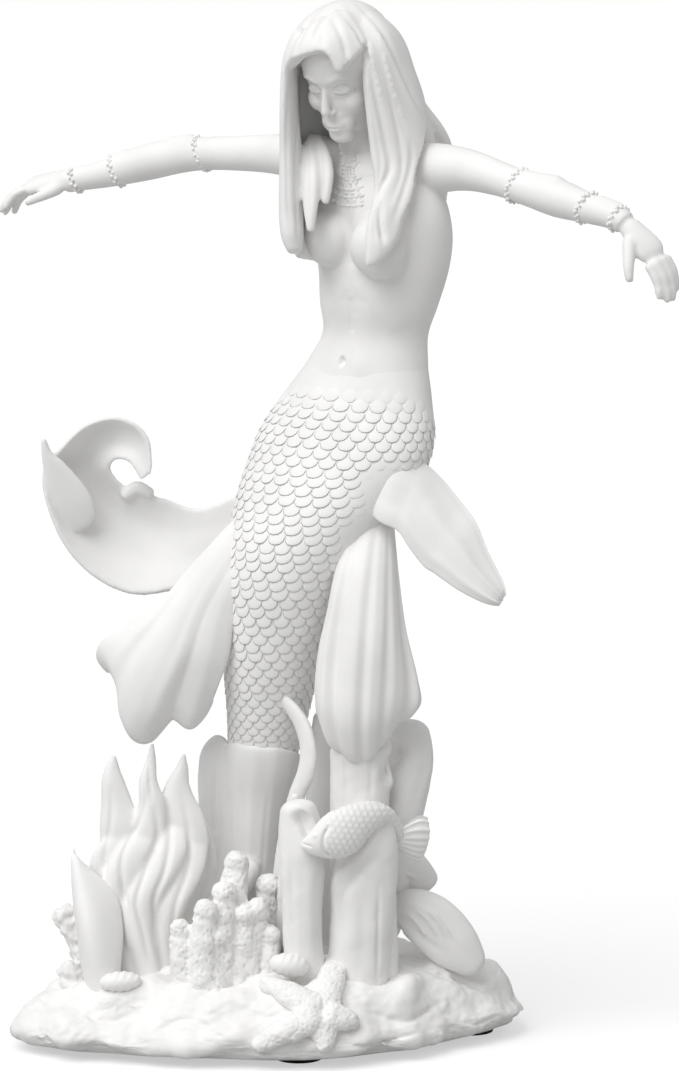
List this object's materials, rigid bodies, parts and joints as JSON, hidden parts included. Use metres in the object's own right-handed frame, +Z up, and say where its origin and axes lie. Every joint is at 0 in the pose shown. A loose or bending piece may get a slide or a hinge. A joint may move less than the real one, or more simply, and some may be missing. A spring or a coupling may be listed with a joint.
{
  "type": "mermaid figurine",
  "caption": "White cast-resin mermaid with outstretched arms and long straight hair, rising from a rough rock base with seaweed, coral, tube sponges, a fish and a starfish.",
  "frame": {"origin": "centre of the bounding box's underside, on the surface that the pads stand on", "axes": "+Z up, -Y towards the viewer of the picture, +X along her outstretched left arm's side"},
  "size_m": [0.1742, 0.1248, 0.2711],
  "materials": {
    "white_resin": "matte",
    "pad_rubber": "matte"
  },
  "bodies": {
    "root": {"mermaid_casting": "white_resin", "pad_front": "pad_rubber", "pad_back": "pad_rubber", "pad_left": "pad_rubber", "pad_right": "pad_rubber"}
  },
  "joints": []
}
